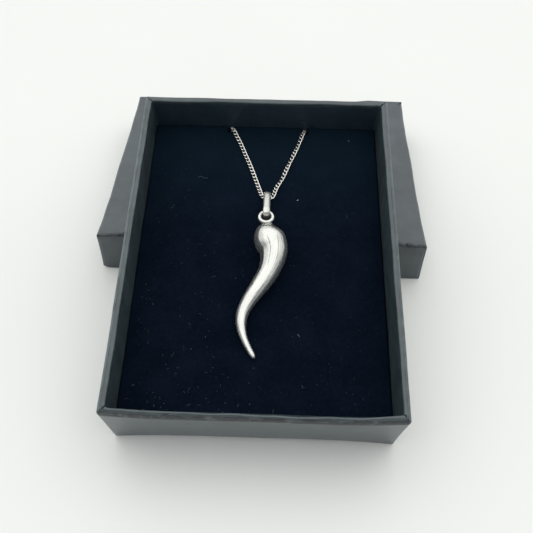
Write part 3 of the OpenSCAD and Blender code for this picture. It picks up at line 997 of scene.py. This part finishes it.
# Sections of the horn from its tip to its collar: place across and along, and radius
HORN_ROWS = [
    (-1.7, 0, 0.22), (-1.85, 0.15, 0.45), (-2.1, 0.5, 0.6), (-2.55, 1.2, 0.7),
    (-3.35, 2.6, 0.8), (-4.45, 4.8, 0.95), (-5.2, 7.1, 1.18), (-5.45, 9.4, 1.43),
    (-5.1, 11.8, 1.65), (-4.1, 14.2, 1.85), (-2.7, 16.6, 2.1), (-1.15, 19, 2.38),
    (0.1, 21.1, 2.58), (1.1, 23.1, 2.78), (1.85, 25.4, 3.12), (2.2, 27.4, 3.5),
    (2.15, 29.5, 3.9), (1.4, 31.7, 4.25), (0.75, 33.4, 3.95), (0.45, 34.9, 3.15),
    (0.45, 35.9, 2.1), (0.38, 36.5, 1.45)
]
COLLAR_PROFILE = [
    (0.6, 35.5), (1.5, 35.55), (1.5, 36.1), (1.38, 36.24), (1.52, 36.34), (1.68, 36.44),
    (1.74, 36.58), (1.68, 36.72), (1.46, 36.82), (1.24, 36.88), (1.12, 36.98), (0.9, 37.08)
]


def silver_horn(silver):
    """The solid horn with its collar and soldered ring, in one piece."""
    sides = 64
    table = smooth(HORN_ROWS, 6)
    spine = [np.array((row[0], row[1], 0)) for row in table]
    rings = []
    tip = heading(spine, 0)
    for share in (0.3, 0.6, 0.85):
        across = np.cross(UP, tip)
        back = HORN_ROWS[0][2] * 0.5 * math.sqrt(1 - share ** 2)
        rings.append(ring_points(spine[0] - tip * back, across, UP, HORN_ROWS[0][2] * share, sides))
    for i, row in enumerate(table):
        rings.append(ring_points(spine[i], np.cross(UP, heading(spine, i)), UP, row[2], sides))
    horn = swept("silver_horn", rings, False, IN_HORN, silver)
    on_neck = IN_HORN @ Matrix.Translation((COLLAR_X, 0, 0))
    collar = swept("neck", turned(COLLAR_PROFILE, 48), False, on_neck, silver)
    ring = swept("loop", torus(RING_OD, RING_WIRE), True, IN_RING, silver)
    fused(horn, collar, ring)
    grain_along(horn, spine)
    ring_tarnish(horn)
    return dressed(horn, "silver", "horn_drop")


def grain_along(thing, spine):
    """Keeps on each point the direction round the horn and the length along it, for streaks."""
    back = (Matrix.Scale(MM, 4) @ IN_HORN).inverted()
    line = np.array(spine)
    run = np.concatenate([[0], np.cumsum(np.linalg.norm(np.diff(line, axis=0), axis=1))])
    values = []
    for vertex in thing.data.vertices:
        point = np.array(back @ vertex.co)
        near = int(np.argmin(np.linalg.norm(line - point, axis=1)))
        forward = heading(line, near)
        off = point - line[near]
        ahead = np.dot(off, forward)
        off = off - ahead * forward
        size = max(0.05, np.linalg.norm(off))
        across = np.cross(UP, forward)
        values += [np.dot(off, across) / size, off[2] / size, run[near] + ahead]
    thing.data.attributes.new("lengthwise", "FLOAT_VECTOR", "POINT").data.foreach_set("vector", values)


RING_DARKEST = 0.9
RING_DARK_DEPTH = 0.55


def ring_tarnish(thing):
    """Marks the inner side of the soldered ring, which no cloth gets to."""
    back = (Matrix.Scale(MM, 4) @ IN_RING).inverted()
    hole = RING_OD / 2 - RING_WIRE
    for vertex, mark in zip(thing.data.vertices, thing.data.attributes["marks_and_shading"].data):
        place = back @ vertex.co
        beyond = math.hypot(place.x, place.y) - hole
        dark = max(0.0, min(RING_DARKEST, 1 - beyond / RING_DARK_DEPTH))
        mark.value = dark if abs(place.z) < RING_WIRE else 0.0


# Painted shade on the bail: a grey stripe along its right side, and a darker reflection where it bends
# round the ring
BAIL_SIDE_SHADE = 0.3
BAIL_SIDE_SHADE_AT = 0.3
BAIL_BEND_SHADE = 0.3


def silver_bail(silver):
    """The long bail: two rounded ends joined by the strap."""
    near_r = BAIL_NEAR_R - BAIL_STRAP / 2
    far_r = BAIL_FAR_R - BAIL_STRAP / 2
    half = math.pi / 2 - math.asin((near_r - far_r) / BAIL_REACH)
    far = np.array((BAIL_REACH, 0.0))

    def facing(turn):
        return np.array((math.cos(turn), math.sin(turn)))

    upper = facing(half)
    lower = facing(-half)
    bends = 20
    steps = 12
    straight = [m / steps for m in range(1, steps)]
    strap = [far + far_r * facing(half * (2 * m / bends - 1)) for m in range(bends + 1)]
    strap += [(far + far_r * upper) * (1 - t) + near_r * upper * t for t in straight]
    back = 2 * math.pi - 2 * half
    strap += [near_r * facing(half + m * back / bends) for m in range(bends + 1)]
    strap += [near_r * lower * (1 - t) + (far + far_r * lower) * t for t in straight]
    count = len(strap)
    at = [-2, 3.2, 5.2, 6.8, 8.4]
    widths = [BAIL_W, BAIL_W + 0.1, BAIL_WIDE, BAIL_WIDE, BAIL_W]
    # Section of the strap: nearly flat inside, crowned outside, rounded at both edges
    section = []
    for m in range(bends):
        turn = 2 * math.pi * m / bends
        across = math.copysign(abs(math.cos(turn)) ** 0.85, math.cos(turn)) * 0.5
        rise = math.sin(turn)
        section.append((across, rise * 0.5 if rise > 0 else -abs(rise) ** 0.4 * 0.5))
    rings = []
    darkened = []
    for i in range(count):
        ahead = unit(strap[(i + 1) % count] - strap[i - 1])
        out = np.array((ahead[1], -ahead[0]))
        width = np.interp(strap[i][0], at, widths)
        crown = 1 + BAIL_CROWN * max(0.0, out[1])
        for across, rise in section:
            place = strap[i] + out * rise * BAIL_STRAP * (crown if rise > 0 else 1)
            rings.append((across * width, place[0], place[1]))
            # Painted shade: a grey stripe along the right side, and a darker bend round the ring
            beside = max(0.0, 1 - abs(across - BAIL_SIDE_SHADE_AT) / 0.2)
            bent = clamped(0.7 - place[0]) * (0.6 + 0.6 * wobble(rings[-1], 0.9, 21))
            darkened.append(min(0.6, BAIL_SIDE_SHADE * beside + BAIL_BEND_SHADE * bent))
    body = Piece()
    body.add(rings, swept_faces(count, len(section), True), darkened)
    thing = body.make("silver_bail", IN_BAIL, silver, 60)
    outward(thing)
    return dressed(thing, "silver", "bail")


# Chain

FLOOR_H = BOARD + TUBE_D / 2 + 1.5 * REST_GAP
LIE_H = PAD_TOP + 0.58
CLASP_H = BOARD + CLASP_D / 2 + REST_GAP
EYE_X = CLASP_L / 2 + EYE_D / 2 - 0.1
# The hidden chain's way over the tray's floor, from beside the clasp: across and along
UNDER = [
    (8, 14), (9, 18), (9, 45.5), (10, 49.5), (13.5, 51.5), (17, 49.5), (18, 45.5), (18, 14),
    (19, 10), (22, 8), (25, 10), (26, 14), (26, 75), (24.5, 80), (20, 82)
]


def under(side, last):
    """The way under the pad on one side, from the clasp's eye to the last points at the slot."""
    start = [(side * (EYE_X + 1.3), CLASP_Y + 0.2, CLASP_H - 0.2)]
    return start + [(side * x, y, FLOOR_H) for x, y in UNDER + last]


def through_slot(x, aside, low, high):
    """Up through a slot and out over its edge, passed from the height low to the height high."""
    return [(x, SLOT_Y - 1.6, FLOOR_H), (x, SLOT_Y - 0.35, FLOOR_H + 0.5),
            (x, SLOT_Y, FLOOR_H + 1.8), (x, SLOT_Y, low), (x + aside, SLOT_Y - 0.7, high)]


LEFT_UNDER = under(-1, [(14, 83), (11, 85.5)])
LEFT_SLOT = through_slot(SLOT_LEFT, 0.2, PAD_TOP - 1.3, PAD_TOP + 0.4)
# The shown chain from slot to slot: across, along, and lift off the pad
FRONT_ROWS = [
    (-9.3, 89.2, 0.5), (-8.6, 87.7, 0.35), (-7.25, 85, 0.05), (-5.6, 80.9, 0), (-3.7, 76.1, 0),
    (-2.15, 71.7, 0), (-1.25, 69, 0.1), (-0.8, 67.6, 0.3), (-0.45, 66.35, 0.6), (-0.05, 65.4, 0.85),
    (0.6, 64.85, 1), (1.35, 64.7, 1), (2.1, 64.85, 1), (2.75, 65.25, 0.9), (3.15, 66.15, 0.6),
    (3.4, 67.4, 0.35), (3.9, 69.1, 0.1), (5.4, 72.1, 0), (7.05, 76.8, 0), (8.8, 81.4, 0),
    (10.3, 85.6, 0), (11.35, 89.2, 0)
]
FRONT = [(x, y, LIE_H + lift) for x, y, lift in FRONT_ROWS]
RIGHT_SLOT = through_slot(SLOT_RIGHT, -0.2, PAD_TOP - 1.8, PAD_TOP - 0.1)[::-1]
RIGHT_UNDER = under(1, [(15, 83), (12.6, 85.5)])[::-1]
ROUTE = LEFT_UNDER + LEFT_SLOT + FRONT + RIGHT_SLOT + RIGHT_UNDER
CURVE_STEPS = 8
# The left strand lies over to its left; the right one is wound and rolls every few links
LEFT_ROLL = math.radians(9)
ROLL = math.radians(34)
ROLL_EVERY = 5.8
ROLL_FROM = 29
# Which way the first shown link's side faces, as it comes up through the slot
FIRST_SIDE = (0.93, 0.36, 0)
# Points of the route, half a step before the ones where the shown links start and stop
LEFT_HEAD = len(LEFT_UNDER) + 3
RIGHT_HEAD = len(LEFT_UNDER) + len(LEFT_SLOT) + len(FRONT)


def link_mesh(bend_steps, sides):
    """Points of one curb link lying along X: its ends turned, and its high parts filed flat."""
    reach = (LINK_L - LINK_WIRE) / 2
    bend = (LINK_W - LINK_WIRE) / 2
    flat = reach - bend
    outline = []
    for end in (1, -1):
        for m in range(bend_steps + 1):
            turn = math.pi * (m / bend_steps - 0.5)
            outline.append((end * (flat + bend * math.cos(turn)), end * bend * math.sin(turn)))

    def twisted(x, y):
        turn = -LINK_TWIST * x / reach
        return np.array((x, y * math.cos(turn), y * math.sin(turn)))

    points = []
    count = len(outline)
    for i, (x, y) in enumerate(outline):
        ahead = unit(twisted(*outline[(i + 1) % count]) - twisted(*outline[i - 1]))
        turn = -LINK_TWIST * x / reach
        level = unit(np.cross((0, -math.sin(turn), math.cos(turn)), ahead))
        points += ring_points(twisted(x, y), level, np.cross(ahead, level), LINK_WIRE / 2, sides)
    points = [(x, y, max(-FILED, min(FILED, z))) for x, y, z in points]
    # The inner side of a link is dark: tarnish that is never rubbed clean, and painted shade between
    # the links
    dark = [max(0.0, 2.6 * math.cos(2 * math.pi * j / sides) - 1.2) for j in range(sides)] * count
    return np.array(points), swept_faces(count, sides, True), dark


def silver_chain(silver):
    """Every link of the whole necklace, from the clasp's left eye round to its right eye."""
    curve = np.array(smooth(ROUTE, CURVE_STEPS))
    run = np.concatenate([[0], np.cumsum(np.linalg.norm(np.diff(curve, axis=0), axis=1))])
    count = int(run[-1] // PITCH)
    joints = [np.array([np.interp(k * PITCH, run, curve[:, axis]) for axis in range(3)])
              for k in range(count + 1)]
    forward = [unit(joints[k + 1] - joints[k]) for k in range(count)]
    first = math.ceil(run[int((LEFT_HEAD + 0.5) * CURVE_STEPS)] / PITCH)
    last = math.floor(run[int((RIGHT_HEAD + 0.5) * CURVE_STEPS)] / PITCH) - 1
    sides = carried(forward[:first], UP)
    sides += lying(forward[first:], np.array(FIRST_SIDE))
    shown, hidden = Piece(), Piece()
    fine = link_mesh(8, 10)
    plain = link_mesh(6, 6)
    for k in range(count):
        in_view = first <= k <= last
        points, faces, dark = fine if in_view else plain
        roll = link_roll(k - first) if in_view else 0.0
        side = math.cos(roll) * sides[k] + math.sin(roll) * np.cross(forward[k], sides[k])
        up = np.cross(forward[k], side)
        middle = (joints[k] + joints[k + 1]) / 2
        hung = middle + points @ np.array((forward[k], side, up))
        (shown if in_view else hidden).add(hung, faces, dark)
    front = shown.make("curb_chain", IN_TRAY, silver, 80)
    back = hidden.make("curb_chain_hidden", IN_TRAY, silver, 80)
    dressed(front, "silver", "chain_front")
    dressed(back, "silver", "chain_back")


def lying(headings, start):
    """The side of each link where the chain lies flat, carried on where it turns down."""
    sides = [start]
    for ahead in headings:
        flat = np.cross(UP, ahead)
        if np.linalg.norm(flat) < 0.6:
            flat = sides[-1] - ahead * np.dot(ahead, sides[-1])
        sides.append(unit(flat))
    return sides[1:]


def link_roll(k):
    """How far the shown chain has rolled over at its link k, in radians."""
    if k < ROLL_FROM:
        return LEFT_ROLL
    return -ROLL / 2 * (1 - math.cos(2 * math.pi * (k - ROLL_FROM) / ROLL_EVERY))


def silver_clasp(silver):
    """The hidden clasp: a plain barrel with a turned rim at each end and an eye beyond each."""
    half = CLASP_L / 2
    radius = CLASP_D / 2
    end = [(0.55, 0), (0.9, 0.02), (1, 0.15), (1, 0.5), (0.92, 0.6)]
    waist = [(0.92, -0.12), (0.86, 0), (0.92, 0.12)]
    profile = [(r, y - half) for r, y in end] + waist + [(r, half - y) for r, y in reversed(end)]
    rings = turned([(radius * r, y) for r, y in profile], 40)
    body = swept("barrel_clasp", rings, False, IN_CLASP @ Matrix.Rotation(math.pi / 2, 4, "Z"), silver)
    eyes = [swept("eye", torus(EYE_D, EYE_WIRE, 32, 12), True,
                  IN_CLASP @ Matrix.Translation((side * EYE_X, 0, 0)), silver) for side in (-1, 1)]
    return dressed(fused(body, *eyes), "silver", "clasp")


# Studio

# The viewpoint, measured from the middle of the tray's near bottom edge, and its turn, tilt and roll
EYE_PLACE = (4.0298, -75.1565, 147.3292)
EYE_TURNS = ((1.1094, "Z"), (-47.6394, "X"), (-0.7484, "Y"), (90, "X"))
SENSOR = 36
PICTURE_PIXELS = 533
FOCAL_PIXELS = 635.672


def camera():
    """The photograph's viewpoint and lens."""
    place = Vector((EYE_PLACE[0] - MIDDLE_X, EYE_PLACE[1] - MIDDLE_Y, EYE_PLACE[2])) * MM
    turn = Matrix.Identity(4)
    for degrees, axis in EYE_TURNS:
        turn = turn @ Matrix.Rotation(math.radians(degrees), 4, axis)
    lens = bpy.data.cameras.new("camera")
    lens.sensor_width = SENSOR
    lens.lens = SENSOR * FOCAL_PIXELS / PICTURE_PIXELS
    lens.clip_start = 0.01
    lens.clip_end = 20
    eye = placed("camera", lens)
    eye.matrix_world = Matrix.Translation(place) @ turn
    bpy.context.scene.camera = eye


def soft_light(name, place, aim, width, depth, radiance):
    """A soft panel that faces a point, as bright as its radiance seen face on."""
    lamp = bpy.data.lights.new(name, "AREA")
    lamp.shape = "RECTANGLE"
    lamp.size = width
    lamp.size_y = depth
    lamp.energy = radiance * math.pi * width * depth
    panel = placed(name, lamp)
    panel.location = place
    panel.rotation_euler = (Vector(aim) - Vector(place)).to_track_quat("-Z", "Y").to_euler()


# The room is bright all round except low down in front, where the viewer stands
LIGHT_FROM = (0, 0.8, 0.6)
LIGHT_EDGE = (-0.15, 0.25)
ROOM_DIM = (0.36, 0.39, 0.40)
ROOM_BRIGHT = (0.885, 0.90, 0.89)
CEILING_PLACE = (0, 0.1, 1.2)
CEILING_SIZE = 2.4
CEILING_RADIANCE = 0.45
TABLE_HALF = 3.0


def studio():
    """A bright room with one soft light over a white table."""
    world = bpy.data.worlds.new("studio")
    room = Graph(world)
    way = room.node("TexCoord", output="Generated")
    toward = room.node("VectorMath", {"operation": "DOT_PRODUCT"}, {0: way, 1: LIGHT_FROM}, "Value")
    colour = room.tint(toward.between(*LIGHT_EDGE), ROOM_DIM, ROOM_BRIGHT)
    room.feed(room.nodes["Background"].inputs["Color"], colour)
    bpy.context.scene.world = world
    soft_light("ceiling", CEILING_PLACE, (0, 0, 0), CEILING_SIZE, CEILING_SIZE, CEILING_RADIANCE)
    corners = [(x * TABLE_HALF, y * TABLE_HALF, 0) for x, y in ((-1, -1), (1, -1), (1, 1), (-1, 1))]
    mesh = bpy.data.meshes.new("table")
    mesh.from_pydata(corners, [], [(0, 1, 2, 3)])
    mesh.materials.append(floor_finish())
    table = placed("table", mesh)
    bpy.context.scene.view_settings.view_transform = "Standard"


# The ground and the lit patches of each paper, and each piece's silver where it is clean
TRAY_PAPER = ((0.036, 0.052, 0.058), (0.063, 0.084, 0.092))
LID_PAPER = ((0.036, 0.051, 0.06), (0.06, 0.079, 0.09))
HORN_CLEAN = (0.79, 0.785, 0.75)
BAIL_CLEAN = (0.92, 0.915, 0.88)
CHAIN_CLEAN = (0.96, 0.93, 0.87)
CLASP_CLEAN = (0.8, 0.79, 0.75)

camera()
studio()
box_tray(paper_finish("tray_paper", *TRAY_PAPER))
box_lid(paper_finish("lid_paper", *LID_PAPER))
velvet_pad(velvet_finish())
velvet_lint(lint_finish())
silver_horn(silver_finish("horn_silver", HORN_CLEAN, streaked=True))
silver_bail(silver_finish("bail_silver", BAIL_CLEAN))
silver_chain(silver_finish("chain_silver", CHAIN_CLEAN, tarnish=0.15))
silver_clasp(silver_finish("clasp_silver", CLASP_CLEAN))
